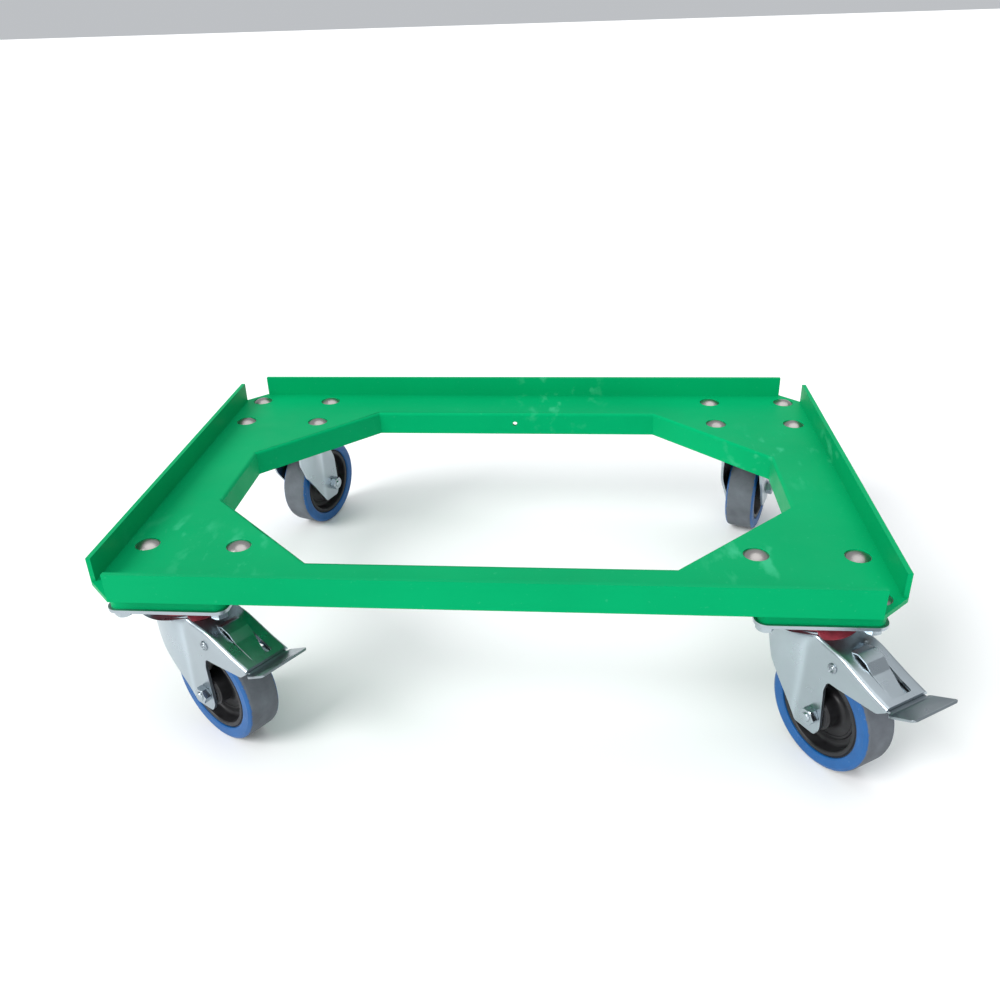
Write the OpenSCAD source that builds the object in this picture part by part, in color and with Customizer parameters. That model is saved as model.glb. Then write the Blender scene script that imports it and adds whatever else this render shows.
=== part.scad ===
// Open-deck crate dolly: a moulded frame with four upturned lips that
// locate a stacking crate, on four swivel casters, the front two braked.
// Millimetres, +Z up, floor at Z = 0 under the middle of the deck,
// +X along the long side, -Y towards the braked front.

/* [Deck] */
// Overall length over the lips
deck_l = 634; // [600:1:760]
// Overall width over the lips
deck_w = 434; // [400:1:520]
// Thickness of the deck sheet
deck_t = 4; // [3:0.5:6]
// Length cut from each side of a corner
corner_cut = 23.5; // [18:0.5:30]

/* [Lips] */
// Height of the lips above the deck
lip_h = 21; // [12:1:40]
// Thickness of the lips
lip_t = 4; // [3:0.5:5]

/* [Opening] */
// Width of the deck between the opening and the outside
rail_w = 59; // [45:0.5:75]
// Room between the opening's flange and the nearest caster plate
plate_room = 12.5; // [4:0.5:20]
// Depth of the opening's flange below the deck's face
flange_h = 24; // [16:1:30]
// Thickness of the opening's flange
flange_t = 4; // [3:0.5:5]
// Diameter of the hole for a hook in the back flange
hook_hole_d = 5; // [4:0.5:8]

/* [Mounting pads] */
// Inset of a pad from the edge of its caster plate
pad_inset = 2.5; // [1:0.5:4]
// Height of a pad below the deck sheet
pad_h = 15; // [9:1:20]
// Wall of a pad
pad_t = 4; // [3:0.5:5]
// Diameter of the boss round each bolt
boss_d = 18; // [16:1:20]

/* [Caster places] */
// Distance of the outer bolts from the deck's short sides
bolt_inset_x = 22; // [18:0.5:30]
// Distance of the outer bolts from the deck's long sides
bolt_inset_y = 23; // [18:0.5:30]
// Way the front right caster trails, from +X
heading_front_right = -57; // [-180:1:180]
// Way the front left caster trails, from +X
heading_front_left = -34; // [-180:1:180]
// Way the back left caster trails, from +X
heading_back_left = 69; // [-180:1:180]
// Way the back right caster trails, from +X
heading_back_right = 69; // [-180:1:180]

/* [Top plate] */
// Distance of the bolts from the plate's short sides
plate_edge_x = 10; // [9:0.5:14]
// Distance of the bolts from the plate's long sides
plate_edge_y = 12.5; // [9:0.5:14]
// Thickness of the plate
plate_t = 3; // [2.5:0.5:4]
// Corner radius of the plate
plate_r = 10; // [6:1:12]
// Bolt spacing along X
bolt_pitch_x = 80; // [76:1:105]
// Bolt spacing along Y
bolt_pitch_y = 60; // [58:1:80]

/* [Swivel head] */
// Diameter of the plate's dished head
head_d = 60; // [58:1:64]
// Depth of the head below the plate
head_h = 5.5; // [5:0.5:8]
// Diameter of the upper balls
upper_ball_d = 6; // [5:0.5:6]
// Diameter of the lower balls
lower_ball_d = 5; // [4:0.5:5]
// Share of a ball's diameter that each groove takes
groove_share = 0.25; // [0.2:0.01:0.3]
// Spacing of the balls as a multiple of their diameter
ball_spacing = 1.25; // [1.1:0.05:2]
// Gap between the lower race and the fork's legs
race_room = 0.75; // [0.4:0.05:1.5]
// Thickness of the lower race
race_t = 3.5; // [3:0.5:4]
// Diameter of the kingpin
kingpin_d = 12; // [10:1:14]
// Diameter of the kingpin's heads
kingpin_head_d = 20; // [18:1:22]
// Thickness of the kingpin's heads
kingpin_head_h = 2.5; // [2:0.5:3.5]
// Wall of the seal ring
seal_t = 2; // [1.5:0.5:3]

/* [Fork] */
// Thickness of the fork's crown
crown_t = 3; // [2.5:0.5:4]
// Width of the crown's edge outside the seal ring
crown_edge = 1.6; // [1:0.1:3]
// Diameter of the crown's hole
crown_hole_d = 20; // [14:1:20]
// Thickness of the legs
leg_t = 2.5; // [2:0.5:3]
// Reach of a leg ahead of the swivel axis
leg_front = 20; // [16:1:24]
// Depth below the crown at which a leg's front edge turns to the axle
leg_knee = 24.5; // [20:0.5:30]
// Reach of a leg's foot ahead of the axle
foot_front = 16; // [12:1:18]
// Reach of a leg's foot behind the axle
foot_back = 7; // [6:0.5:9]
// Depth of a leg's foot below the axle
foot_drop = 17; // [12:1:20]
// Gap between the wheel and the kingpin's foot
wheel_room = 11; // [9:0.5:16]

/* [Wheel] */
// Diameter of the wheel
wheel_d = 100; // [80:1:125]
// Width of the tyre
tyre_w = 31; // [24:1:40]
// Radius of the tyre's shoulders
shoulder_r = 3; // [1:0.5:5]
// Depth of the tyre's rubber
tyre_h = 11.5; // [8:0.5:15]
// Thickness of the wheel centre's rim
rim_t = 5.5; // [4:0.5:7]
// Inset of the rim's edge from the tyre's side
rim_inset = 1; // [0:0.5:3]
// Thickness of the wheel centre's web
web_t = 7; // [5:1:12]
// Diameter of the hub
hub_d = 29; // [26:1:34]
// Length by which the hub stands out of the tyre's side
hub_past = 2.5; // [2:0.5:6]
// Gap between the hub's end and a leg
hub_play = 0.75; // [0.4:0.05:1.5]
// Distance from the swivel axis to the axle
trail = 36; // [32:1:38]

/* [Axle] */
// Diameter of the axle bolt
axle_d = 8; // [6:1:8]
// Outer diameter of the spacer tube round the bolt
sleeve_d = 12; // [11:0.5:13]
// Diameter of the bearing's rollers
roller_d = 3; // [2.5:0.5:3.5]
// Spacing of the rollers as a multiple of their diameter
roller_spacing = 1.3; // [1.1:0.05:2]
// Inset of the bearing from the hub's ends
bearing_inset = 1.3; // [0.5:0.1:4]
// Thickness of the bearing's end rings
ring_t = 1.5; // [1:0.5:2]

/* [Brake] */
// Distance of the brake's pin behind the axle
pin_back = 12; // [8:0.5:16]
// Height of the brake's pin above the wheel's top
pin_room = 3; // [2.8:0.1:5]
// Diameter of the brake's pin
pin_d = 5; // [4:0.5:5]
// Diameter of the pin's heads
pin_head_d = 8.5; // [7:0.5:10]
// Thickness of the pin's heads
pin_head_h = 1.5; // [1:0.5:2]
// Reach of the fork's arms behind the axle
arm_back = 63.5; // [58:0.5:70]
// Height of the arms' top edge at their end above the wheel's top
arm_room = 1; // [0:0.5:3]
// Width of the raised tongue on the brake cover
tongue_w = 18; // [14:1:22]
// Height of the raised tongue
tongue_h = 3.5; // [2:0.5:4]
// Reach of the pedal's tip behind the axle
pedal_back = 88; // [80:1:95]
// Width of the pedal's foot plate
pedal_w = 45; // [38:1:50]
// Height of the pedal's tip above the wheel's top
pedal_room = 9; // [6:1:12]
// Thickness of the pedal's sheet
pedal_t = 2; // [1.5:0.5:2.5]
// Angle the pedal turns down to the brake's on position
pedal_stroke = 16; // [12:1:18]
// Gap between the shoe and the tyre with the brake on
shoe_gap = 0.4; // [0.3:0.1:0.6]

/* [Fasteners] */
// Diameter of the deck bolts
bolt_d = 8; // [6:1:8]
// Diameter of a bolt's domed head
bolt_head_d = 20.65; // [18:0.05:21]
// Height of a bolt's domed head
bolt_head_h = 4.2; // [3:0.1:5]
// Depth of the dimple that seats a head
dimple_h = 1.5; // [1:0.5:2]
// Height of the square neck
neck_h = 3.5; // [2:0.5:5]
// Diameter of the washers
washer_d = 16; // [14:1:17]
// Thickness of the washers
washer_t = 1.6; // [1:0.1:2]
// Distance across the nuts' flats
nut_af = 13; // [12:0.5:13]
// Height of a nut
nut_h = 6.5; // [5:0.5:7]
// Height of the axle bolt's hexagon head
hex_head_h = 5.3; // [4:0.1:6]
// Thread that stands out past a nut
thread_past = 1.5; // [1:0.5:2]

/* [Clearances] */
// Radial clearance of rolling and turning fits
run_gap = 0.05; // [0.02:0.01:0.1]
// Gap between pieces that move past each other
move_gap = 0.4; // [0.3:0.1:0.6]
// Radial clearance of bolts in their holes
bolt_gap = 0.5; // [0.25:0.05:0.5]
// Clearance round the bolts' square necks and dimples
seat_gap = 0.15; // [0.1:0.05:0.3]

/* [Hidden] */
$fn = 64;
INF = 400;

wheel_r = wheel_d / 2;
axle_z = wheel_r;
rim_d = wheel_d - 2 * tyre_h;
rim_w = tyre_w - 2 * rim_inset;
hub_w = tyre_w + 2 * hub_past;
leg_gap = hub_w + 2 * hub_play;
leg_out = leg_gap / 2 + leg_t;
sleeve_l = leg_gap;

// Roller bearing in the hub
roller_pitch_r = sleeve_d / 2 + run_gap + roller_d / 2;
rollers = floor(2 * PI * roller_pitch_r / (roller_d * roller_spacing));
bearing_play = 0.2;
roller_l = hub_w - 2 * (bearing_inset + ring_t + bearing_play);
bore_r = sleeve_d / 2 + roller_d + 2 * run_gap;

// Swivel head, from the wheel's top upwards
race_d = leg_gap - 2 * race_room;
lower_pitch_d = (crown_hole_d + race_d) / 2;
lower_balls = floor(PI * lower_pitch_d / (lower_ball_d * ball_spacing));
lower_gap = lower_ball_d * (1 - 2 * groove_share);
upper_pitch_d = head_d - 2 * upper_ball_d;
upper_balls = floor(PI * upper_pitch_d / (upper_ball_d * ball_spacing));
upper_gap = upper_ball_d * (1 - 2 * groove_share);
seal_d = head_d + 2 * move_gap;
crown_d = seal_d + 2 * seal_t + 2 * crown_edge;
kingpin_foot_z = wheel_d + wheel_room;
race_z = kingpin_foot_z + kingpin_head_h;
crown_z = race_z + race_t + lower_gap;
crown_top = crown_z + crown_t;
plate_z = crown_top + upper_gap + head_h;
plate_top = plate_z + plate_t;
leg_knee_z = crown_z - leg_knee;

// Plates, pads and deck
plate_l = bolt_pitch_x + 2 * plate_edge_x;
plate_w = bolt_pitch_y + 2 * plate_edge_y;
pad_l = plate_l - 2 * pad_inset;
pad_w = plate_w - 2 * pad_inset;
pad_r = plate_r - pad_inset;
deck_z = plate_top + pad_h;
deck_top = deck_z + deck_t;
caster_pitch_x = deck_l - 2 * bolt_inset_x - bolt_pitch_x;
caster_pitch_y = deck_w - 2 * bolt_inset_y - bolt_pitch_y;
neck_s = bolt_d;

// Opening, whose corners are cut to pass the caster plates' inner corners
opening_l = deck_l - 2 * rail_w;
opening_w = deck_w - 2 * rail_w;
plate_corner =
  (caster_pitch_x - plate_l + caster_pitch_y - plate_w) / 2 + (2 - sqrt(2)) * plate_r;
opening_cut =
  (opening_l + opening_w) / 2 - plate_corner + sqrt(2) * (flange_t + plate_room);

// Brake in the caster's own frame: X back from the swivel axis
pin_x = trail + pin_back;
pin_z = wheel_d + pin_room;
arm_reach = trail + arm_back;
arm_top = wheel_d + arm_room;
leg_back_x = leg_front + 6;
cover_root_x = leg_front + 14;
cover_root_z = crown_z;
cover_high_x = pin_x + 6;
cover_high_z = cover_root_z - 3;
cover_mid_x = (pin_x + arm_reach) / 2 + 10;
cover_mid_z = arm_top + 4.5;
cheek_out = leg_gap / 2 - move_gap;
cheek_in = cheek_out - pedal_t;
pedal_reach = trail + pedal_back;
pedal_root_x = arm_reach + 3;
pedal_root_z = arm_top - leg_t - move_gap;
pedal_tip_z = wheel_d + pedal_room;
shoe_top = 1;

// Height of the cover's underside between its root and its bend
function cover_under(x) =
  cover_root_z - leg_t
  - (cover_root_z - cover_high_z) * (x - cover_root_x) / (cover_high_x - cover_root_x);

CORNER = [[1, -1], [-1, -1], [-1, 1], [1, 1]];
HEADING = [heading_front_right, heading_front_left,
           heading_back_left, heading_back_right];

// ---- helpers ----

// Puts a caster's parts at its corner, without its heading
module at_corner(c) {
  translate([CORNER[c][0] * caster_pitch_x / 2, CORNER[c][1] * caster_pitch_y / 2, 0])
    children();
}

// Puts the swivelling parts at their corner and heading
module at_caster(c) {
  at_corner(c)
    rotate([0, 0, HEADING[c]])
      children();
}

// Puts a revolved part on the axle, its axis along Y
module on_axle(c) {
  at_caster(c)
    translate([trail, 0, axle_z])
      rotate([90, 0, 0])
        children();
}

// The four bolt places of every caster
module at_deck_bolts() {
  for (c = [0:3])
    at_corner(c)
      for (x = [-1, 1], y = [-1, 1])
        translate([x * bolt_pitch_x / 2, y * bolt_pitch_y / 2, 0])
          children();
}

// A rectangle with its corners cut at 45 degrees
module cut_rectangle(l, w, cut) {
  x = l / 2;
  y = w / 2;
  polygon([
    [-x + cut, -y], [x - cut, -y], [x, -y + cut], [x, y - cut],
    [x - cut, y], [-x + cut, y], [-x, y - cut], [-x, -y + cut],
  ]);
}

// A rectangle with round corners
module round_rectangle(l, w, r) {
  square([l - 2 * r, w], center = true);
  square([l, w - 2 * r], center = true);
  for (x = [-1, 1], y = [-1, 1])
    translate([x * (l / 2 - r), y * (w / 2 - r)])
      circle(r = r);
}

// A profile in the caster's X-Z plane, made a plate across Y
module across(y_low, y_high) {
  translate([0, y_high, 0])
    rotate([90, 0, 0])
      linear_extrude(y_high - y_low)
        children();
}

// A ring groove that balls run in
module groove(pitch_d, ball_d) {
  rotate_extrude()
    translate([pitch_d / 2, 0])
      circle(d = ball_d + 2 * run_gap);
}

module hexagon(af, h) {
  cylinder(d = af / cos(30), h = h, $fn = 6);
}

// ---- deck ----

module opening_prism(grow, z, h) {
  translate([0, 0, z])
    linear_extrude(h)
      cut_rectangle(opening_l + 2 * grow, opening_w + 2 * grow,
                    opening_cut + 2 * grow * (1 - tan(22.5)));
}

module lips() {
  for (s = [-1, 1]) {
    translate([-deck_l / 2 + corner_cut, s * (deck_w - lip_t) / 2 - lip_t / 2, deck_z])
      cube([deck_l - 2 * corner_cut, lip_t, deck_t + lip_h]);
    translate([s * (deck_l - lip_t) / 2 - lip_t / 2, -deck_w / 2 + corner_cut, deck_z])
      cube([lip_t, deck_w - 2 * corner_cut, deck_t + lip_h]);
  }
}

// A hollow plinth with a boss round each bolt
module mounting_pad() {
  translate([0, 0, plate_top])
    linear_extrude(pad_h) {
      difference() {
        round_rectangle(pad_l, pad_w, pad_r);
        round_rectangle(pad_l - 2 * pad_t, pad_w - 2 * pad_t, pad_r - pad_t);
      }
      intersection() {
        round_rectangle(pad_l, pad_w, pad_r);
        for (x = [-1, 1], y = [-1, 1])
          translate([x * bolt_pitch_x / 2, y * bolt_pitch_y / 2])
            circle(d = boss_d);
      }
    }
}

module deck_frame() {
  color("mediumseagreen")
    difference() {
      union() {
        translate([0, 0, deck_z])
          linear_extrude(deck_t)
            cut_rectangle(deck_l, deck_w, corner_cut);
        lips();
        opening_prism(flange_t, deck_top - flange_h, flange_h);
        for (c = [0:3])
          at_corner(c)
            mounting_pad();
      }
      opening_prism(0, 0, INF);
      at_deck_bolts()
        bolt_seat();
      translate([0, opening_w / 2 - 1, deck_top - flange_h / 2])
        rotate([-90, 0, 0])
          cylinder(d = hook_hole_d, h = flange_t + 2);
    }
}

// The dimple, the square hole and the round hole of one bolt
module bolt_seat() {
  square_s = neck_s + 2 * seat_gap;
  translate([0, 0, deck_top - dimple_h])
    cylinder(d = bolt_head_d + 4 * seat_gap, h = INF);
  translate([-square_s / 2, -square_s / 2, deck_top - dimple_h - neck_h - seat_gap])
    cube([square_s, square_s, INF]);
  cylinder(d = bolt_d + 2 * bolt_gap, h = INF);
}

// ---- deck fasteners ----

// A spherical cap of the given base diameter and height, from Z = 0 up
module dome(d, h) {
  sphere_r = (d * d / 4 + h * h) / (2 * h);
  intersection() {
    translate([0, 0, h - sphere_r])
      sphere(r = sphere_r);
    cylinder(d = d + 1, h = h + 1);
  }
}

module deck_bolts() {
  head_z = deck_top - dimple_h;
  shank_z = plate_z - washer_t - nut_h - thread_past;
  color("silver")
    at_deck_bolts() {
      translate([0, 0, head_z])
        dome(bolt_head_d, bolt_head_h);
      translate([-neck_s / 2, -neck_s / 2, head_z - neck_h])
        cube([neck_s, neck_s, neck_h]);
      translate([0, 0, shank_z])
        cylinder(d = bolt_d, h = head_z - shank_z);
    }
}

module deck_washers() {
  color("lightgray")
    at_deck_bolts()
      translate([0, 0, plate_z - washer_t])
        difference() {
          cylinder(d = washer_d, h = washer_t);
          translate([0, 0, -1])
            cylinder(d = bolt_d + 2 * bolt_gap, h = washer_t + 2);
        }
}

module deck_nuts() {
  color("gainsboro")
    at_deck_bolts()
      translate([0, 0, plate_z - washer_t - nut_h])
        difference() {
          hexagon(nut_af, nut_h);
          translate([0, 0, -1])
            cylinder(d = bolt_d + 2 * run_gap, h = nut_h + 2);
        }
}

// ---- swivel head ----

module top_plate(c) {
  color("silver")
    at_corner(c)
      difference() {
        union() {
          translate([0, 0, plate_z])
            linear_extrude(plate_t)
              round_rectangle(plate_l, plate_w, plate_r);
          translate([0, 0, plate_z - head_h])
            cylinder(d = head_d, h = head_h);
        }
        cylinder(d = kingpin_d + 2 * run_gap, h = INF);
        translate([0, 0, plate_z - head_h - upper_gap / 2])
          groove(upper_pitch_d, upper_ball_d);
        for (x = [-1, 1], y = [-1, 1])
          translate([x * bolt_pitch_x / 2, y * bolt_pitch_y / 2, 0])
            cylinder(d = bolt_d + 2 * bolt_gap, h = INF);
      }
}

module kingpin(c) {
  color("lightgray")
    at_corner(c) {
      translate([0, 0, kingpin_foot_z])
        cylinder(d = kingpin_head_d, h = kingpin_head_h);
      translate([0, 0, kingpin_foot_z])
        cylinder(d = kingpin_d, h = plate_top + kingpin_head_h - kingpin_foot_z);
      translate([0, 0, plate_top])
        cylinder(d = kingpin_head_d, h = kingpin_head_h);
    }
}

module lower_race(c) {
  color("darkgray")
    at_corner(c)
      difference() {
        translate([0, 0, race_z])
          cylinder(d = race_d, h = race_t);
        cylinder(d = kingpin_d + 2 * run_gap, h = INF);
        translate([0, 0, crown_z - lower_gap / 2])
          groove(lower_pitch_d, lower_ball_d);
      }
}

module ball_ring(count, pitch_d, ball_d) {
  for (i = [0:count - 1])
    rotate([0, 0, i * 360 / count])
      translate([pitch_d / 2, 0, 0])
        sphere(d = ball_d, $fn = 32);
}

module swivel_balls(c) {
  color("whitesmoke")
    at_caster(c) {
      translate([0, 0, crown_top + upper_gap / 2])
        ball_ring(upper_balls, upper_pitch_d, upper_ball_d);
      translate([0, 0, crown_z - lower_gap / 2])
        ball_ring(lower_balls, lower_pitch_d, lower_ball_d);
    }
}

// Stands on the crown and closes the gap round the head
module seal_ring(c) {
  color("firebrick")
    at_caster(c)
      translate([0, 0, crown_top])
        difference() {
          cylinder(d = seal_d + 2 * seal_t, h = plate_z - crown_top - move_gap);
          translate([0, 0, -1])
            cylinder(d = seal_d, h = INF);
        }
}

// ---- fork ----

// Outline of a leg from the crown down to its foot
module leg_outline() {
  polygon([
    [-leg_front, crown_top], [-leg_front + 1, leg_knee_z],
    [-leg_front + 8, leg_knee_z - 19],
    [trail - foot_front - 3, axle_z - foot_drop + 3],
    [trail - foot_front, axle_z - foot_drop],
    [trail + foot_back - 2, axle_z - foot_drop],
    [trail + foot_back + 2.5, axle_z - foot_drop + 8],
    [trail + foot_back, pin_z - 22], [leg_back_x, crown_z], [leg_front, crown_top],
  ]);
}

// Outline of a braked leg's arm, which carries the brake cover
module arm_outline() {
  arch_z = pin_z - 16;
  polygon([
    [trail, arch_z - 20], [trail + foot_back, arch_z - 8], [trail + foot_back + 3, arch_z],
    [pin_x + 4, arch_z + 2], [arm_reach - 7.5, arm_top - 9.5], [arm_reach, arm_top - 3.5],
    [arm_reach, arm_top], [cover_mid_x, cover_mid_z], [cover_high_x, cover_high_z],
    [cover_root_x, cover_root_z], [leg_front, crown_z],
  ]);
}

// Profile of the cover sheet that joins the arms along their top edge
module cover_outline() {
  polygon([
    [arm_reach, arm_top], [cover_mid_x, cover_mid_z], [cover_high_x, cover_high_z],
    [cover_root_x, cover_root_z], [leg_front, crown_top], [leg_front - 2, crown_z],
    [leg_front, crown_z], [cover_root_x, cover_root_z - leg_t],
    [cover_high_x, cover_high_z - leg_t], [cover_mid_x, cover_mid_z - leg_t],
    [arm_reach, arm_top - leg_t],
  ]);
}

// Profile of the tongue pressed up out of the cover
module tongue_outline() {
  polygon([
    [cover_high_x - 4, cover_high_z - 0.5], [cover_high_x + 2, cover_high_z + tongue_h - 1],
    [cover_high_x + 8, cover_high_z + tongue_h - 2], [cover_mid_x + 3, cover_mid_z - 1],
    [cover_mid_x + 3, cover_mid_z - 2], [cover_high_x + 8, cover_high_z + tongue_h - 4],
    [cover_high_x + 2, cover_high_z + tongue_h - 3], [cover_high_x - 4, cover_high_z - 1.5],
  ]);
}

module fork_leg(y_low, y_high, braked) {
  across(y_low, y_high)
    difference() {
      union() {
        leg_outline();
        if (braked)
          arm_outline();
      }
      translate([trail, axle_z])
        circle(d = axle_d + bolt_gap);
      if (braked)
        translate([pin_x, pin_z])
          circle(d = pin_d + 2 * run_gap);
    }
}

module fork(c, braked) {
  color("lightsteelblue")
    at_caster(c)
      difference() {
        union() {
          translate([0, 0, crown_z])
            cylinder(d = crown_d, h = crown_t);
          translate([-leg_front, -leg_out, crown_z])
            cube([2 * leg_front, 2 * leg_out, crown_t]);
          fork_leg(leg_gap / 2, leg_out, braked);
          fork_leg(-leg_out, -leg_gap / 2, braked);
          if (braked)
            brake_cover();
        }
        cylinder(d = crown_hole_d, h = INF);
        translate([0, 0, crown_top + upper_gap / 2])
          groove(upper_pitch_d, upper_ball_d);
        translate([0, 0, crown_z - lower_gap / 2])
          groove(lower_pitch_d, lower_ball_d);
      }
}

module brake_cover() {
  window_x = cover_high_x;
  difference() {
    across(-leg_out, leg_out)
      cover_outline();
    translate([window_x, -tongue_w / 2, 0])
      cube([cover_mid_x - window_x, tongue_w, INF]);
  }
  across(-tongue_w / 2, tongue_w / 2)
    tongue_outline();
}

// ---- wheel ----

module axle_bolt(c) {
  shank_l = sleeve_l + 2 * leg_t + nut_h + thread_past;
  color("silver")
    on_axle(c) {
      translate([0, 0, -leg_out - hex_head_h])
        hexagon(nut_af, hex_head_h);
      translate([0, 0, -leg_out])
        cylinder(d = axle_d, h = shank_l);
    }
}

module axle_nut(c) {
  color("gainsboro")
    on_axle(c)
      translate([0, 0, leg_out])
        difference() {
          hexagon(nut_af, nut_h);
          translate([0, 0, -1])
            cylinder(d = axle_d + 2 * run_gap, h = nut_h + 2);
        }
}

module axle_sleeve(c) {
  color("lightgray")
    on_axle(c)
      difference() {
        cylinder(d = sleeve_d, h = sleeve_l, center = true);
        cylinder(d = axle_d + 2 * run_gap, h = INF, center = true);
      }
}

module roller_bearing(c) {
  ring_gap = 0.4;
  color("whitesmoke")
    on_axle(c) {
      for (i = [0:rollers - 1])
        rotate([0, 0, i * 360 / rollers])
          translate([roller_pitch_r, 0, 0])
            cylinder(d = roller_d, h = roller_l, center = true, $fn = 24);
      for (s = [-1, 1])
        translate([0, 0, s * (roller_l / 2 + bearing_play + ring_t / 2)])
          difference() {
            cylinder(r = roller_pitch_r + roller_d / 2 - ring_gap, h = ring_t, center = true);
            cylinder(r = roller_pitch_r - roller_d / 2 + ring_gap, h = INF, center = true);
          }
    }
}

module wheel_centre(c) {
  color("dimgray")
    on_axle(c)
      difference() {
        union() {
          cylinder(d = hub_d, h = hub_w, center = true);
          cylinder(d = rim_d - rim_t, h = web_t, center = true);
          difference() {
            cylinder(d = rim_d, h = rim_w, center = true);
            cylinder(d = rim_d - 2 * rim_t, h = INF, center = true);
          }
        }
        cylinder(r = bore_r, h = INF, center = true);
      }
}

module tyre(c) {
  flat = tyre_w / 2 - shoulder_r;
  color("royalblue")
    on_axle(c)
      rotate_extrude() {
        translate([rim_d / 2, -flat])
          square([wheel_r - rim_d / 2, 2 * flat]);
        translate([rim_d / 2, -tyre_w / 2])
          square([wheel_r - shoulder_r - rim_d / 2, tyre_w]);
        for (s = [-1, 1])
          translate([wheel_r - shoulder_r, s * flat])
            circle(r = shoulder_r, $fn = 32);
      }
}

// ---- brake ----

// Side profile of the pedal's cheeks, from the pin back to the foot plate
module cheek_outline() {
  heel_r = 5.5;
  translate([pin_x, pin_z])
    circle(r = heel_r);
  polygon([
    [pin_x, pin_z + heel_r], [cover_high_x, cover_high_z - leg_t - 5.5],
    [cover_mid_x, cover_mid_z - leg_t - 2], [arm_reach - 1, pedal_root_z],
    [arm_reach - 1, pedal_root_z - pedal_t], [cover_mid_x, pin_z - 10],
    [pin_x, pin_z - heel_r],
  ]);
}

// Web between the cheeks that ends as the foot plate
module web_outline() {
  polygon([
    [cover_mid_x, cover_mid_z - leg_t - 2], [arm_reach - 1, pedal_root_z],
    [pedal_root_x, pedal_root_z], [pedal_root_x, pedal_root_z - pedal_t],
    [arm_reach - 1, pedal_root_z - pedal_t],
    [cover_mid_x, cover_mid_z - leg_t - 2 - pedal_t],
  ]);
}

module foot_plate_outline() {
  polygon([
    [pedal_root_x, pedal_root_z - pedal_t], [pedal_root_x, pedal_root_z],
    [pedal_reach, pedal_tip_z], [pedal_reach, pedal_tip_z - pedal_t],
  ]);
}

// Block under the cheeks whose curved face meets the tyre
module brake_shoe() {
  shoe_x = pin_x + 4.5;
  shoe_l = 18;
  shoe_h = 13;
  difference() {
    translate([shoe_x, -cheek_in, pin_z + shoe_top - shoe_h])
      cube([shoe_l, 2 * cheek_in, shoe_h]);
    translate([pin_x, 0, pin_z])
      rotate([0, -pedal_stroke, 0])
        translate([trail - pin_x, 0, axle_z - pin_z])
          rotate([90, 0, 0])
            cylinder(r = wheel_r + shoe_gap, h = INF, center = true);
  }
}

module brake_pedal(c) {
  color("slategray")
    at_caster(c)
      difference() {
        union() {
          across(cheek_in, cheek_out)
            cheek_outline();
          across(-cheek_out, -cheek_in)
            cheek_outline();
          across(-cheek_out, cheek_out)
            web_outline();
          across(-pedal_w / 2, pedal_w / 2)
            foot_plate_outline();
          brake_shoe();
        }
        translate([pin_x, 0, pin_z])
          rotate([90, 0, 0])
            cylinder(d = pin_d + 2 * run_gap, h = INF, center = true);
      }
}

module brake_pin(c) {
  color("silver")
    at_caster(c)
      translate([pin_x, 0, pin_z])
        rotate([90, 0, 0]) {
          cylinder(d = pin_d, h = 2 * (leg_out + pin_head_h), center = true);
          for (s = [-1, 1])
            translate([0, 0, s * (leg_out + pin_head_h / 2)])
              cylinder(d = pin_head_d, h = pin_head_h, center = true);
        }
}

// Leaf under the cover that keeps the pedal where it is put
module brake_spring(c) {
  leaf_t = 1;
  leaf_w = 12;
  root_x = cover_root_x + 2;
  bend_x = cover_high_x;
  tip_x = cover_high_x + 7;
  tip_z = pin_z + shoe_top + 1.6;
  color("darkgray")
    at_caster(c)
      across(-leaf_w / 2, leaf_w / 2)
        polygon([
          [root_x, cover_under(root_x)], [bend_x, cover_under(bend_x)],
          [tip_x, tip_z], [tip_x, tip_z - leaf_t],
          [bend_x - 1, cover_under(bend_x) - leaf_t], [root_x, cover_under(root_x) - leaf_t],
        ]);
}

deck_frame();
deck_bolts();
deck_washers();
deck_nuts();
top_plate(0);  // top_plate_front_right
top_plate(1);  // top_plate_front_left
top_plate(2);  // top_plate_back_left
top_plate(3);  // top_plate_back_right
kingpin(0);  // kingpin_front_right
kingpin(1);  // kingpin_front_left
kingpin(2);  // kingpin_back_left
kingpin(3);  // kingpin_back_right
lower_race(0);  // lower_race_front_right
lower_race(1);  // lower_race_front_left
lower_race(2);  // lower_race_back_left
lower_race(3);  // lower_race_back_right
swivel_balls(0);  // swivel_balls_front_right
swivel_balls(1);  // swivel_balls_front_left
swivel_balls(2);  // swivel_balls_back_left
swivel_balls(3);  // swivel_balls_back_right
seal_ring(0);  // seal_ring_front_right
seal_ring(1);  // seal_ring_front_left
seal_ring(2);  // seal_ring_back_left
seal_ring(3);  // seal_ring_back_right
fork(0, true);  // fork_front_right
fork(1, true);  // fork_front_left
fork(2, false);  // fork_back_left
fork(3, false);  // fork_back_right
axle_bolt(0);  // axle_bolt_front_right
axle_bolt(1);  // axle_bolt_front_left
axle_bolt(2);  // axle_bolt_back_left
axle_bolt(3);  // axle_bolt_back_right
axle_nut(0);  // axle_nut_front_right
axle_nut(1);  // axle_nut_front_left
axle_nut(2);  // axle_nut_back_left
axle_nut(3);  // axle_nut_back_right
axle_sleeve(0);  // axle_sleeve_front_right
axle_sleeve(1);  // axle_sleeve_front_left
axle_sleeve(2);  // axle_sleeve_back_left
axle_sleeve(3);  // axle_sleeve_back_right
roller_bearing(0);  // roller_bearing_front_right
roller_bearing(1);  // roller_bearing_front_left
roller_bearing(2);  // roller_bearing_back_left
roller_bearing(3);  // roller_bearing_back_right
wheel_centre(0);  // wheel_centre_front_right
wheel_centre(1);  // wheel_centre_front_left
wheel_centre(2);  // wheel_centre_back_left
wheel_centre(3);  // wheel_centre_back_right
tyre(0);  // tyre_front_right
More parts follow.
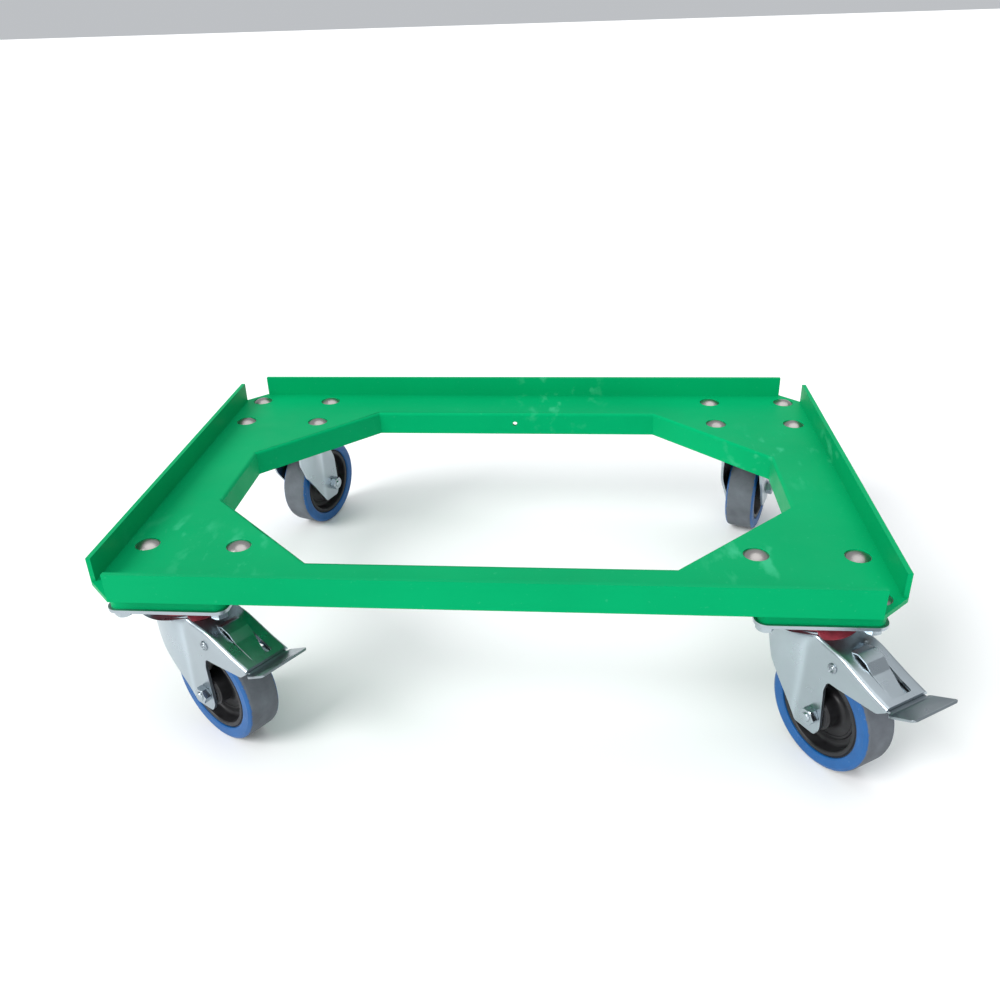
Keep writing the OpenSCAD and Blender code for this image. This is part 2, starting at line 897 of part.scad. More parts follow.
tyre(1);  // tyre_front_left
tyre(2);  // tyre_back_left
tyre(3);  // tyre_back_right
brake_pedal(0);  // brake_pedal_front_right
brake_pedal(1);  // brake_pedal_front_left
brake_pin(0);  // brake_pin_front_right
brake_pin(1);  // brake_pin_front_left
brake_spring(0);  // brake_spring_front_right
brake_spring(1);  // brake_spring_front_left
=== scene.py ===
"""Visible pieces of an open-deck crate dolly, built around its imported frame."""

import math

import bmesh
import bpy
from mathutils import Matrix, Vector


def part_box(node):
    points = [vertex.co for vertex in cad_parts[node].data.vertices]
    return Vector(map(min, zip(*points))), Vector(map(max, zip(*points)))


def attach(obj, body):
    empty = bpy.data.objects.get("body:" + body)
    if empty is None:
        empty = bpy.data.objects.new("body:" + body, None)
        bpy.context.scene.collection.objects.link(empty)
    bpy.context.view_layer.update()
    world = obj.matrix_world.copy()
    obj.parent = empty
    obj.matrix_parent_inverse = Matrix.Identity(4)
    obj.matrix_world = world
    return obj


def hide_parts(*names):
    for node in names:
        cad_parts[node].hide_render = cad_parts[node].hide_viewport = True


bl_info = {
    "name": "Crate dolly",
    "version": (1, 0, 0),
    "blender": (4, 5, 0),
    "location": "3D View > Sidebar > Dolly",
    "description": "Models the visible pieces of an open-deck crate dolly on its frame",
    "category": "Object",
}

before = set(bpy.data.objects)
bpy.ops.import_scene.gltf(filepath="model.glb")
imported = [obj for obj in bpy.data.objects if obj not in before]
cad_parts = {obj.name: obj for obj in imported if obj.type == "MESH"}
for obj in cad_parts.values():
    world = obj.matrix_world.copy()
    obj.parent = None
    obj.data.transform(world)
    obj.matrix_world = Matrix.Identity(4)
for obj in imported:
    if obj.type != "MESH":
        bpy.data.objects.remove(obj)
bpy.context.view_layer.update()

MM = 0.001
CORNERS = ("front_right", "front_left", "back_left", "back_right")
BRAKED = CORNERS[:2]

# Deck, in millimetres from the floor under its middle
DECK_L = 634
DECK_W = 434
DECK_LOW = 149
DECK_TOP = 153
CORNER_CUT = 23.5
LIP_T = 4
LIP_TOP = 174
OPENING_L = 516
OPENING_W = 316
OPENING_CUT = 107
FLANGE_T = 4
FLANGE_LOW = 129
PAD_L = 95
PAD_W = 80
PAD_R = 7.5
PAD_T = 4
BOSS_D = 18
HOOK_R = 2.5
HOOK_Z = 141

# Fasteners
BOLT_X = 40
BOLT_Y = 30
BOLT_PATTERN = [(x, y) for x in (-BOLT_X, BOLT_X) for y in (-BOLT_Y, BOLT_Y)]
BOLT_R = 4
BOLT_TIP = 121.4
BOLT_HOLE_R = 4.5
HEAD_R = 10.325
HEAD_LOW = 151.5
HEAD_TOP = 155.7
SEAT_GAP = 0.15
SEAT_CHAMFER = 0.3
WASHER_R = 8
WASHER_LOW = 129.4
NUT_ACROSS = 13
NUT_LOW = 122.9
NUT_T = 6.5
NUT_BORE = 3.5
THREAD = 1.25
THREAD_DEPTH = 0.55

# Caster, in its own frame: X back along the trail, Y along the axle, Z up from the floor
PLATE_L = 100
PLATE_W = 85
PLATE_R = 10
PLATE_LOW = 131
PLATE_TOP = 134
KINGPIN_R = 6.05
CROWN_LOW = 119.5
CROWN_TOP = 122.5
CROWN_R = 34
LEG_IN = 18.75
LEG_OUT = 21.25
TRAIL = 36
AXLE_Z = 50
AXLE_HEAD_T = 5.3
AXLE_HOLE_R = 4.3
PIN_X = 48
PIN_Z = 103
PIN_HOLE_R = 2.6
PEDAL_HOLE_R = 2.55
CHEEK_IN = 16.35
CHEEK_OUT = 18.35
FOOT_Y = 22.5

# How far a cutter runs past what it cuts, how far a joined piece runs into its
# neighbour, and half the length of a cutter that crosses the whole fork
PAST = 5
INTO = 1
CROSS_REACH = 40


# ---- places ----


def middle(node):
    low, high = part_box(node)
    return (low + high) / 2


def corner_place(corner):
    """From a caster's swivel axis, unturned, to the dolly."""
    pin = middle("kingpin_" + corner)
    return Matrix.Translation((pin.x, pin.y, 0))


def caster_place(corner):
    """From a caster's own frame to the dolly."""
    pin = middle("kingpin_" + corner)
    axle = middle("wheel_centre_" + corner)
    heading = math.atan2(axle.y - pin.y, axle.x - pin.x)
    return corner_place(corner) @ Matrix.Rotation(heading, 4, "Z")


def axle_place(corner):
    """From a turned piece, its axis along Z, to the caster's axle."""
    up = Matrix.Translation((TRAIL * MM, 0, AXLE_Z * MM))
    return caster_place(corner) @ up @ Matrix.Rotation(math.pi / 2, 4, "X")


# ---- modelling ----


def let_go():
    if bpy.context.mode != "OBJECT":
        bpy.ops.object.mode_set(mode="OBJECT")
    bpy.ops.object.select_all(action="DESELECT")


def hold(obj):
    let_go()
    obj.select_set(True)
    bpy.context.view_layer.objects.active = obj


def edit(obj, pick="SELECT"):
    hold(obj)
    bpy.ops.object.mode_set(mode="EDIT")
    bpy.ops.mesh.select_mode(type="VERT")
    bpy.ops.mesh.select_all(action=pick)


def face_outwards(obj):
    edit(obj)
    bpy.ops.mesh.normals_make_consistent(inside=False)
    bpy.ops.object.mode_set(mode="OBJECT")


def drawn(outline, fill, where):
    """A ring of vertices set on an outline; where turns a point of it into a place."""
    let_go()
    bpy.ops.mesh.primitive_circle_add(vertices=len(outline), fill_type=fill)
    obj = bpy.context.object
    for vert, point in zip(obj.data.vertices, outline):
        vert.co = Vector(where(*point)) * MM
    return obj


def prism(outline, low, high, upright=False):
    """An outline in the floor plane extruded up, or in the X-Z plane extruded along Y."""
    if upright:
        obj = drawn(outline, "NGON", lambda a, b: (a, low, b))
        step = (0, (high - low) * MM, 0)
    else:
        obj = drawn(outline, "NGON", lambda a, b: (a, b, low))
        step = (0, 0, (high - low) * MM)
    edit(obj)
    bpy.ops.mesh.extrude_region_move(TRANSFORM_OT_translate={"value": step})
    face_outwards(obj)
    return obj


def block(low, high):
    let_go()
    centre = [(a + b) / 2 * MM for a, b in zip(low, high)]
    bpy.ops.mesh.primitive_cube_add(size=1, location=centre)
    obj = bpy.context.object
    obj.scale = [(b - a) * MM for a, b in zip(low, high)]
    bpy.ops.object.transform_apply(location=True, rotation=True, scale=True)
    return obj


def lathe(outline, steps):
    """A closed outline of radius and height spun round Z."""
    obj = drawn(outline, "NOTHING", lambda r, z: (r, 0, z))
    edit(obj)
    bpy.ops.mesh.spin(steps=steps, angle=2 * math.pi, center=(0, 0, 0), axis=(0, 0, 1))
    bpy.ops.mesh.select_all(action="SELECT")
    bpy.ops.mesh.remove_doubles(threshold=2e-6)
    bpy.ops.mesh.dissolve_degenerate(threshold=2e-6)
    bpy.ops.mesh.select_all(action="SELECT")
    bpy.ops.mesh.delete_loose()
    face_outwards(obj)
    return obj


def rod(radius, low, high, x=0, y=0, steps=48):
    obj = lathe([(0, low), (radius, low), (radius, high), (0, high)], steps)
    obj.data.transform(Matrix.Translation((x * MM, y * MM, 0)))
    return obj


def cross_rod(radius, x, z, steps):
    """A cutter along Y through a place in the X-Z plane, longer than the fork is wide."""
    obj = rod(radius, -CROSS_REACH, CROSS_REACH, steps=steps)
    turn = Matrix.Rotation(math.pi / 2, 4, "X")
    obj.data.transform(Matrix.Translation((x * MM, 0, z * MM)) @ turn)
    return obj


def rounded(points, steps=5):
    """Corners (a, b) or (a, b, radius) as an outline, with the given corners rounded."""
    outline = []
    for i, point in enumerate(points):
        here = Vector(point[:2])
        if len(point) < 3:
            outline.append(tuple(here))
            continue
        before = (Vector(points[i - 1][:2]) - here).normalized()
        after = (Vector(points[(i + 1) % len(points)][:2]) - here).normalized()
        half = before.angle(after) / 2
        reach = point[2] / math.tan(half)
        centre = here + (before + after).normalized() * (point[2] / math.sin(half))
        start = here + before * reach - centre
        end = here + after * reach - centre
        first = math.atan2(start.y, start.x)
        sweep = math.atan2(start.cross(end), start.dot(end))
        for k in range(steps + 1):
            turn = first + sweep * k / steps
            outline.append((centre.x + point[2] * math.cos(turn),
                            centre.y + point[2] * math.sin(turn)))
    return outline


def mirrored(half):
    """A profile above the X-Y plane, from its inner end, closed with its image below it."""
    return half + [(r, -z) for r, z in reversed(half)]


def combine(obj, tool, how="UNION"):
    hold(obj)
    step = obj.modifiers.new("combine", "BOOLEAN")
    step.operation = how
    step.object = tool
    step.solver = "EXACT"
    bpy.ops.object.modifier_apply(modifier=step.name)
    mesh = tool.data
    bpy.data.objects.remove(tool)
    bpy.data.meshes.remove(mesh)
    return obj


def cut(obj, tool):
    return combine(obj, tool, "DIFFERENCE")


def round_edges(obj, wanted, width, segments):
    """Bevels the edges for which wanted(a, b) holds; a and b are their ends in millimetres."""
    edit(obj, "DESELECT")
    bpy.ops.mesh.select_mode(type="EDGE")
    mesh = bmesh.from_edit_mesh(obj.data)
    for edge in mesh.edges:
        if wanted(*(vert.co / MM for vert in edge.verts)):
            edge.select_set(True)
    bmesh.update_edit_mesh(obj.data)
    bpy.ops.mesh.bevel(offset=width * MM, segments=segments, affect="EDGES")
    bpy.ops.object.mode_set(mode="OBJECT")


def soften(obj, width, segments=2, angle=40, spare=None):
    """Breaks every sharp edge, save those with an end that spare picks."""
    mesh = bmesh.new()
    mesh.from_mesh(obj.data)
    weight = mesh.edges.layers.float.new("bevel_weight_edge")
    for edge in mesh.edges:
        sharp = edge.calc_face_angle(0) > math.radians(angle)
        if sharp and not (spare and any(spare(vert.co / MM) for vert in edge.verts)):
            edge[weight] = 1
    mesh.to_mesh(obj.data)
    mesh.free()
    hold(obj)
    step = obj.modifiers.new("edges", "BEVEL")
    step.width = width * MM
    step.segments = segments
    step.limit_method = "WEIGHT"
    bpy.ops.object.modifier_apply(modifier=step.name)


def smooth(obj, angle=35):
    hold(obj)
    bpy.ops.object.shade_smooth_by_angle(angle=math.radians(angle))
    step = obj.modifiers.new("flats", "WEIGHTED_NORMAL")
    step.keep_sharp = True
    bpy.ops.object.modifier_apply(modifier=step.name)


def slice_at(obj, xs, ys):
    """Cuts the faces along lines across X and Y, so that each stays a plain small polygon."""
    edit(obj)
    for values, normal in ((xs, (1, 0, 0)), (ys, (0, 1, 0))):
        for value in values:
            for side in (-1, 1):
                bpy.ops.mesh.select_all(action="SELECT")
                bpy.ops.mesh.bisect(plane_co=[side * value * MM * n for n in normal],
                                    plane_no=normal)
    bpy.ops.object.mode_set(mode="OBJECT")


def duplicate(obj):
    twin = obj.copy()
    twin.data = obj.data.copy()
    bpy.context.scene.collection.objects.link(twin)
    return twin


def join(objs):
    let_go()
    for obj in objs:
        obj.select_set(True)
    bpy.context.view_layer.objects.active = objs[0]
    bpy.ops.object.join()
    return objs[0]


def drop(obj):
    mesh = obj.data
    bpy.data.objects.remove(obj)
    bpy.data.meshes.remove(mesh)


def paint(obj, name, amount):
    """Stores a number from 0 to 1 at each vertex; amount is given its place in millimetres."""
    layer = obj.data.attributes.new(name, "FLOAT_COLOR", "POINT")
    for vert, item in zip(obj.data.vertices, layer.data):
        value = min(1, max(0, amount(vert.co / MM)))
        item.color = (value, value, value, 1)


def seat(obj, name, place, material, body, node):
    """Puts a finished piece in its place on its body, in the stead of its node."""
    obj.data.transform(place)
    obj.name = name
    obj.data.name = name
    obj.data.materials.clear()
    obj.data.materials.append(material)
    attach(obj, body)
    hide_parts(node)


def seat_all(obj, name, corners, place, material, body):
    """One copy of a piece on each corner, which ends its name and its body's, save the deck's."""
    for corner in corners:
        node = name + "_" + corner
        on = body if body == "deck" else body + "_" + corner
        seat(duplicate(obj), node + "_piece", place(corner), material, on, node)
    drop(obj)


# ---- materials ----


def new_node(tree, kind, inputs=None, **settings):
    made = tree.nodes.new("ShaderNode" + kind)
    for key, value in settings.items():
        setattr(made, key, value)
    for key, value in (inputs or {}).items():
        if isinstance(value, bpy.types.NodeSocket):
            tree.links.new(value, made.inputs[key])
        else:
            made.inputs[key].default_value = value
    return made


def new_material(name):
    """A material with its shader, and the object's own coordinates."""
    material = bpy.data.materials.new(name)
    material.use_nodes = True
    tree = material.node_tree
    shader = tree.nodes["Principled BSDF"]
    place = new_node(tree, "TexCoord").outputs["Object"]
    return material, tree, shader, place


def noise(tree, place, scale, detail, stretch=None):
    if stretch:
        place = new_node(tree, "Mapping", {"Vector": place, "Scale": stretch}).outputs["Vector"]
    made = new_node(tree, "TexNoise", {"Vector": place, "Scale": scale, "Detail": detail})
    return made.outputs["Fac"]


def ramp(tree, fac, low, high, start=0.0, end=1.0):
    """Fac from low to high turned into start to end, held beyond them."""
    made = new_node(tree, "MapRange", {"Value": fac, "From Min": low, "From Max": high,
                                       "To Min": start, "To Max": end})
    return made.outputs["Result"]


def times(tree, a, b):
    return new_node(tree, "Math", {0: a, 1: b}, operation="MULTIPLY").outputs[0]


def plus(tree, a, b):
    return new_node(tree, "Math", {0: a, 1: b}, operation="ADD").outputs[0]


def larger(tree, a, b):
    return new_node(tree, "Math", {0: a, 1: b}, operation="MAXIMUM").outputs[0]


def blend(tree, fac, a, b):
    """Colour a turned into colour b by fac."""
    made = new_node(tree, "Mix", data_type="RGBA")
    for index, value in ((0, fac), (6, a), (7, b)):
        if isinstance(value, bpy.types.NodeSocket):
            tree.links.new(value, made.inputs[index])
        elif index:
            made.inputs[index].default_value = (*value, 1)
        else:
            made.inputs[index].default_value = value
    return made.outputs[2]


def bump(tree, shader, height, distance, strength):
    made = new_node(tree, "Bump", {"Height": height, "Distance": distance, "Strength": strength})
    tree.links.new(made.outputs["Normal"], shader.inputs["Normal"])


def dim(colour, by):
    return tuple(c * by for c in colour)


# Where crates have rubbed the deck: X, Y and reach, in metres
RUBBED_PLACES = [(-0.215, -0.150, 0.06), (-0.275, -0.120, 0.045), (0.275, 0.060, 0.09),
                 (0.21, -0.14, 0.05), (0.05, 0.20, 0.07)]


def deck_plastic(colour, worn):
    """Satin moulded green with an uneven sheen, and pale rubbed places near the bolts."""
    material, tree, shader, place = new_material("moulded green plastic")
    cloud = noise(tree, place, 7, 4)
    grain = noise(tree, place, 900, 2)
    tone = blend(tree, ramp(tree, cloud, 0.35, 0.7), colour, dim(colour, 0.90))
    wear_and_painted_highlight = noise(tree, place, 70, 6, (1.0, 0.45, 1.0))
    spots = 0.0
    for x, y, reach in RUBBED_PLACES:
        away = new_node(tree, "VectorMath", {0: place, 1: (x, y, DECK_TOP * MM)},
                        operation="DISTANCE").outputs["Value"]
        near = ramp(tree, away, reach * 0.3, reach, 1.0, 0.0)
        spots = larger(tree, spots, near)
    scuff = times(tree, ramp(tree, wear_and_painted_highlight, 0.56, 0.68), spots)
    fine = times(tree, ramp(tree, noise(tree, place, 240, 4), 0.66, 0.74), 0.35)
    mark = larger(tree, scuff, fine)
    faded = blend(tree, times(tree, mark, 0.5), tone, worn)
    tree.links.new(faded, shader.inputs["Base Color"])
    sheen = ramp(tree, noise(tree, place, 30, 5), 0.3, 0.75, 0.38, 0.52)
    tree.links.new(plus(tree, sheen, times(tree, mark, 0.2)), shader.inputs["Roughness"])
    shader.inputs["Specular IOR Level"].default_value = 0.09
    shader.inputs["Specular Tint"].default_value = (0.08, 1.0, 0.66, 1)
    wave = times(tree, noise(tree, place, 16, 1), 1.4)
    bump(tree, shader, plus(tree, times(tree, grain, 0.35), wave), 0.0003, 0.35)
    return material


def zinc(name, colour, rough, tint=0.94):
    """Satin plated steel: faint clouds, a few dull specks, an uneven polish, and a painted
    highlight on the pieces that carry one.
    """
    material, tree, shader, place = new_material(name)
    cloud = noise(tree, place, 32, 3)
    tone = blend(tree, ramp(tree, cloud, 0.35, 0.68), colour, dim(colour, tint))
    # Painted highlight: pieces that carry it, the fork legs, are painted lighter where they would
    # reflect light.
    wear_and_painted_highlight = new_node(tree, "Attribute", attribute_name="wear_and_painted_highlight").outputs["Fac"]
    tone = blend(tree, wear_and_painted_highlight, tone, dim(colour, 1.5))
    speck = ramp(tree, noise(tree, place, 300, 4), 0.68, 0.76)
    tree.links.new(blend(tree, times(tree, speck, 0.14), tone, dim(colour, 0.6)),
                   shader.inputs["Base Color"])
    shader.inputs["Metallic"].default_value = 1.0
    polish = ramp(tree, noise(tree, place, 60, 3), 0.3, 0.7, rough * 0.88, rough * 1.15)
    tree.links.new(plus(tree, polish, times(tree, speck, 0.10)), shader.inputs["Roughness"])
    rolled = noise(tree, place, 700, 2, (1.0, 1.0, 0.3))
    wave = times(tree, noise(tree, place, 40, 1), 1.2)
    bump(tree, shader, plus(tree, times(tree, rolled, 0.5), wave), 0.00004, 0.4)
    return material


def seal_plastic(colour):
    """Satin red plastic with a film of grease."""
    material, tree, shader, place = new_material("red seal plastic")
    film = noise(tree, place, 120, 4)
    tree.links.new(blend(tree, ramp(tree, film, 0.4, 0.7), colour, dim(colour, 0.55)),
                   shader.inputs["Base Color"])
    tree.links.new(ramp(tree, film, 0.3, 0.7, 0.22, 0.42), shader.inputs["Roughness"])
    bump(tree, shader, film, 0.00008, 0.5)
    return material


def nylon(colour):
    """Black moulded polyamide, faintly mottled, with patches of dust."""
    material, tree, shader, place = new_material("black polyamide")
    mottle = noise(tree, place, 150, 4)
    dust = ramp(tree, noise(tree, place, 60, 6), 0.52, 0.72)
    tone = blend(tree, ramp(tree, mottle, 0.35, 0.7), colour, dim(colour, 1.6))
    tree.links.new(blend(tree, times(tree, dust, 0.06), tone, (0.13, 0.13, 0.13)),
                   shader.inputs["Base Color"])
    tree.links.new(ramp(tree, mottle, 0.3, 0.7, 0.34, 0.52), shader.inputs["Roughness"])
    shader.inputs["Specular IOR Level"].default_value = 0.32
    bump(tree, shader, noise(tree, place, 1400, 2), 0.00005, 0.6)
    return material


def rubber(colour, dust):
    """Elastic rubber: clean sides and a dusty tread whose border breaks up in specks."""
    material, tree, shader, place = new_material("blue elastic rubber")
    tread = new_node(tree, "Attribute", attribute_name="tread").outputs["Fac"]
    speck = noise(tree, place, 420, 4)
    cloud = noise(tree, place, 70, 4)
    worn = plus(tree, tread, ramp(tree, speck, 0.3, 0.7, -0.13, 0.13))
    grey = ramp(tree, worn, 0.42, 0.62)
    side = blend(tree, ramp(tree, cloud, 0.4, 0.75), colour, dim(colour, 0.82))
    flecks = ramp(tree, noise(tree, place, 700, 3), 0.70, 0.76)
    side = blend(tree, times(tree, flecks, 0.5), side, (0.35, 0.42, 0.52))
    ground = blend(tree, ramp(tree, cloud, 0.3, 0.7), dust, dim(dust, 0.68))
    tree.links.new(blend(tree, grey, side, ground), shader.inputs["Base Color"])
    tree.links.new(ramp(tree, grey, 0.0, 1.0, 0.42, 0.78), shader.inputs["Roughness"])
    shader.inputs["Specular IOR Level"].default_value = 0.4
    rough = times(tree, times(tree, speck, grey), 3.0)
    bump(tree, shader, plus(tree, rough, noise(tree, place, 1200, 2)), 0.0001, 0.6)
    return material


def floor_paint(colour):
    """Pale studio floor with the faintest unevenness."""
    material, tree, shader, place = new_material("studio floor")
    cloud = noise(tree, place, 3, 3)
    tree.links.new(blend(tree, cloud, colour, dim(colour, 0.97)), shader.inputs["Base Color"])
    shader.inputs["Roughness"].default_value = 0.7
    return material


FINISH = {}


def finish_named(key):
    """A finish from the panel's colours, made once and shared."""
    if key not in FINISH:
        tints = bpy.context.scene.dolly_colours
        makers = {
            "deck": lambda: deck_plastic(tuple(tints.deck), tuple(tints.scuffs)),
            "zinc": lambda: zinc("bright zinc plate", tuple(tints.zinc), 0.30),
            "pedal": lambda: zinc("pedal zinc plate", dim(tints.zinc, 0.78), 0.30),
            "nuts": lambda: zinc("nut zinc plate", dim(tints.zinc, 1.05), 0.24),
            "bolts": lambda: zinc("nickelled bolt steel", tuple(tints.bolts), 0.32, 0.8),
            "steel": lambda: zinc("ground steel", dim(tints.zinc, 0.75), 0.16),
            "spring": lambda: zinc("tempered spring steel", dim(tints.zinc, 0.5), 0.32),
            "seal": lambda: seal_plastic(tuple(tints.seal)),
            "nylon": lambda: nylon(tuple(tints.wheel_centre)),
            "rubber": lambda: rubber(tuple(tints.rubber), tuple(tints.dust)),
        }
        FINISH[key] = makers[key]()
    return FINISH[key]


# ---- deck ----


def cut_corners(length, width, cut_by):
    x, y = length / 2, width / 2
    return [(-x + cut_by, -y), (x - cut_by, -y), (x, -y + cut_by), (x, y - cut_by),
            (x - cut_by, y), (-x + cut_by, y), (-x, y - cut_by), (-x, -y + cut_by)]


def round_box(length, width, radius, steps=6):
    x, y = length / 2, width / 2
    return rounded([(-x, -y, radius), (x, -y, radius), (x, y, radius), (-x, y, radius)], steps)


def shifted(outline, x, y):
    return [(a + x, b + y) for a, b in outline]


def bolt_places():
    """The sixteen bolt places as (x, y) in millimetres."""
    places = []
    for corner in CORNERS:
        pin = middle("kingpin_" + corner) / MM
        places += [(pin.x + x, pin.y + y) for x, y in BOLT_PATTERN]
    return places


def opening_outline(grow):
    """The eight-sided opening, each side moved outwards by grow."""
    wider = OPENING_CUT + 2 * grow * (1 - math.tan(math.radians(22.5)))
    return cut_corners(OPENING_L + 2 * grow, OPENING_W + 2 * grow, wider)


def mounting_pad(x, y):
    """A hollow pad under the sheet, with a boss round each of its four bolts."""
    outside = shifted(round_box(PAD_L, PAD_W, PAD_R), x, y)
    pad = prism(outside, PLATE_TOP, DECK_LOW + INTO)
    hollow = round_box(PAD_L - 2 * PAD_T, PAD_W - 2 * PAD_T, PAD_R - PAD_T)
    cut(pad, prism(shifted(hollow, x, y), PLATE_TOP - PAST, DECK_LOW))
    for dx, dy in BOLT_PATTERN:
        outline = shifted(round_box(BOSS_D, BOSS_D, BOSS_D / 2 - 0.01, 8), x + dx, y + dy)
        boss = prism(outline, PLATE_TOP, DECK_LOW + INTO)
        combine(boss, prism(outside, PLATE_TOP - PAST, DECK_LOW + PAST), "INTERSECT")
        combine(pad, boss)
    return pad


def deck_piece(sizes):
    """The moulding: sheet, flange, four lips, four pads, and its holes."""
    deck = prism(cut_corners(DECK_L, DECK_W, CORNER_CUT), DECK_LOW, DECK_TOP)
    combine(deck, prism(opening_outline(FLANGE_T), FLANGE_LOW, DECK_TOP))
    cut(deck, prism(opening_outline(0), FLANGE_LOW - PAST, DECK_TOP + PAST))
    x, y = OPENING_L / 2 + 0.1, OPENING_W / 2 + 0.1

    def on_rim(a, b):
        high = min(a.z, b.z) > DECK_TOP - 0.1
        return high and all(abs(p.x) < x and abs(p.y) < y for p in (a, b))

    round_edges(deck, on_rim, sizes.rim_radius / MM, 5)
    bolts = bolt_places()
    across = sorted({abs(a) for a, b in bolts} | {OPENING_L / 2 - OPENING_CUT, x + FLANGE_T})
    deep = sorted({abs(b) for a, b in bolts} | {OPENING_W / 2 - OPENING_CUT, y + FLANGE_T})
    slice_at(deck, across, deep)
    for corner in CORNERS:
        pin = middle("kingpin_" + corner) / MM
        combine(deck, mounting_pad(pin.x, pin.y))
    long_x, short_y = DECK_L / 2 - CORNER_CUT, DECK_W / 2 - CORNER_CUT
    for side in (-1, 1):
        low, high = sorted((side * DECK_W / 2, side * (DECK_W / 2 - LIP_T)))
        combine(deck, block((-long_x, low, DECK_LOW), (long_x, high, LIP_TOP)))
        low, high = sorted((side * DECK_L / 2, side * (DECK_L / 2 - LIP_T)))
        combine(deck, block((low, -short_y, DECK_LOW), (high, short_y, LIP_TOP)))
    hook_hole = rod(HOOK_R, -10, 10)
    hook_hole.data.transform(Matrix.Rotation(math.pi / 2, 4, "X"))
    middle_y = (OPENING_W + FLANGE_T) / 2
    hook_hole.data.transform(Matrix.Translation((0, middle_y * MM, HOOK_Z * MM)))
    cut(deck, hook_hole)
    seat_r = HEAD_R + SEAT_GAP
    for x, y in bolts:
        seat_hole = lathe([(0, 120), (BOLT_HOLE_R, 120), (BOLT_HOLE_R, HEAD_LOW),
                           (seat_r, HEAD_LOW), (seat_r, DECK_TOP - SEAT_CHAMFER),
                           (seat_r + SEAT_CHAMFER, DECK_TOP), (seat_r + SEAT_CHAMFER, 160),
                           (0, 160)], 40)
        seat_hole.data.transform(Matrix.Translation((x * MM, y * MM, 0)))
        cut(deck, seat_hole)

    def by_a_bolt(place):
        return any(math.hypot(place.x - x, place.y - y) < HEAD_R + 1 for x, y in bolts)

    soften(deck, sizes.deck_edge / MM, 3, spare=by_a_bolt)
    smooth(deck, 30)
    return deck


class DOLLY_OT_deck(bpy.types.Operator):
    """Models the green moulding"""

    bl_idname = "dolly.deck"
    bl_label = "Deck"

    def execute(self, context):
        deck = deck_piece(context.scene.dolly_sizes)
        seat(deck, "deck_frame_piece", Matrix(), finish_named("deck"),
             "deck", "deck_frame")
        return {"FINISHED"}


# ---- deck fasteners ----


def threaded(radius, low, high):
    """Radius and height of a threaded end, from its chamfered tip at low up to high."""
    root = radius - THREAD_DEPTH
    outline = [(0, low), (radius - 1.0, low), (root, low + 0.5)]
    z = low + 0.7
    while z < high - THREAD:
        outline += [(radius, z + THREAD * 0.45), (radius, z + THREAD * 0.6), (root, z + THREAD)]
        z += THREAD
    return outline


def carriage_bolt():
    """Domed head with a rolled edge, square neck and threaded shank."""
    height = HEAD_TOP - HEAD_LOW
    sphere = (HEAD_R ** 2 + height ** 2) / (2 * height)
    dome = []
    for k in range(13):
        r = (HEAD_R - 0.35) * k / 12
        dome.append((r, HEAD_TOP - sphere + math.sqrt(sphere ** 2 - r ** 2)))
    edge = [(HEAD_R - 0.1, HEAD_LOW), (HEAD_R, HEAD_LOW + 0.35)]
    shank = threaded(BOLT_R, BOLT_TIP, 137) + [(BOLT_R, 137.5), (BOLT_R, HEAD_LOW)]
    bolt = lathe(shank + edge + dome[::-1], 40)
    neck = block((-BOLT_R, -BOLT_R, HEAD_LOW - 3.5), (BOLT_R, BOLT_R, HEAD_LOW + 0.5))
    return join([bolt, neck])


def hexagon(low, high, bore):
    """A head or a nut along Z with turned chamfers on both ends; a head has no bore."""
    chamfer = 0.9
    reach = NUT_ACROSS / 2 / math.cos(math.radians(30))
    corners = [(reach * math.cos(math.radians(60 * k)), reach * math.sin(math.radians(60 * k)))
               for k in range(6)]
    body = prism(corners, low, high)
    flat = NUT_ACROSS / 2 - 0.15
    turned = lathe([(0, low - 1), (flat - 1.2, low - 1), (flat, low), (reach + 0.05, low + chamfer),
                    (reach + 0.05, high - chamfer), (flat, high), (flat - 1.2, high + 1),
                    (0, high + 1)], 64)
    combine(body, turned, "INTERSECT")
    if bore:
        hole = lathe([(0, low - 2), (bore + 0.9, low - 2), (bore + 0.6, low + 0.01),
                      (bore, low + 0.6), (bore, high - 0.6), (bore + 0.6, high - 0.01),
                      (bore + 0.9, high + 2), (0, high + 2)], 40)
        cut(body, hole)
    smooth(body, 25)
    return body


def washer():
    outline = rounded([(BOLT_HOLE_R, WASHER_LOW), (WASHER_R, WASHER_LOW, 0.3),
                       (WASHER_R, PLATE_LOW, 0.3), (BOLT_HOLE_R, PLATE_LOW)], 2)
    return lathe(outline, 40)


def at_bolts(obj, turn):
    """Sixteen copies of a piece, each turned a little further, joined as one."""
    copies = []
    for k, (x, y) in enumerate(bolt_places()):
        twin = duplicate(obj)
        spin = Matrix.Rotation(math.radians(turn * k), 4, "Z")
        twin.data.transform(Matrix.Translation((x * MM, y * MM, 0)) @ spin)
        copies.append(twin)
    drop(obj)
    return join(copies)


class DOLLY_OT_fasteners(bpy.types.Operator):
    """Models the carriage bolts, washers and nuts"""

    bl_idname = "dolly.fasteners"
    bl_label = "Deck fasteners"

    def execute(self, context):
        bolt = carriage_bolt()
        smooth(bolt, 40)
        ring = washer()
        smooth(ring)
        nut = hexagon(NUT_LOW, WASHER_LOW, NUT_BORE)
        for obj, name, finish, turn in ((bolt, "bolts", "bolts", 0), (ring, "washers", "nuts", 0),
                                        (nut, "nuts", "nuts", 37)):
            seat(at_bolts(obj, turn), "deck_" + name + "_piece", Matrix(), finish_named(finish),
                 "deck", "deck_" + name)
        return {"FINISHED"}


# ---- swivel heads ----

COVER_END = 110

# The top of a braked fork from behind the crown to past the cover, in its X-Z plane
COVER_LINE = [(-CROWN_R, CROWN_TOP), (20, CROWN_TOP, 40), (34, 119.5, 80), (54, 116.5, 60),
              (83.75, 105.5, 80), (COVER_END, 98)]


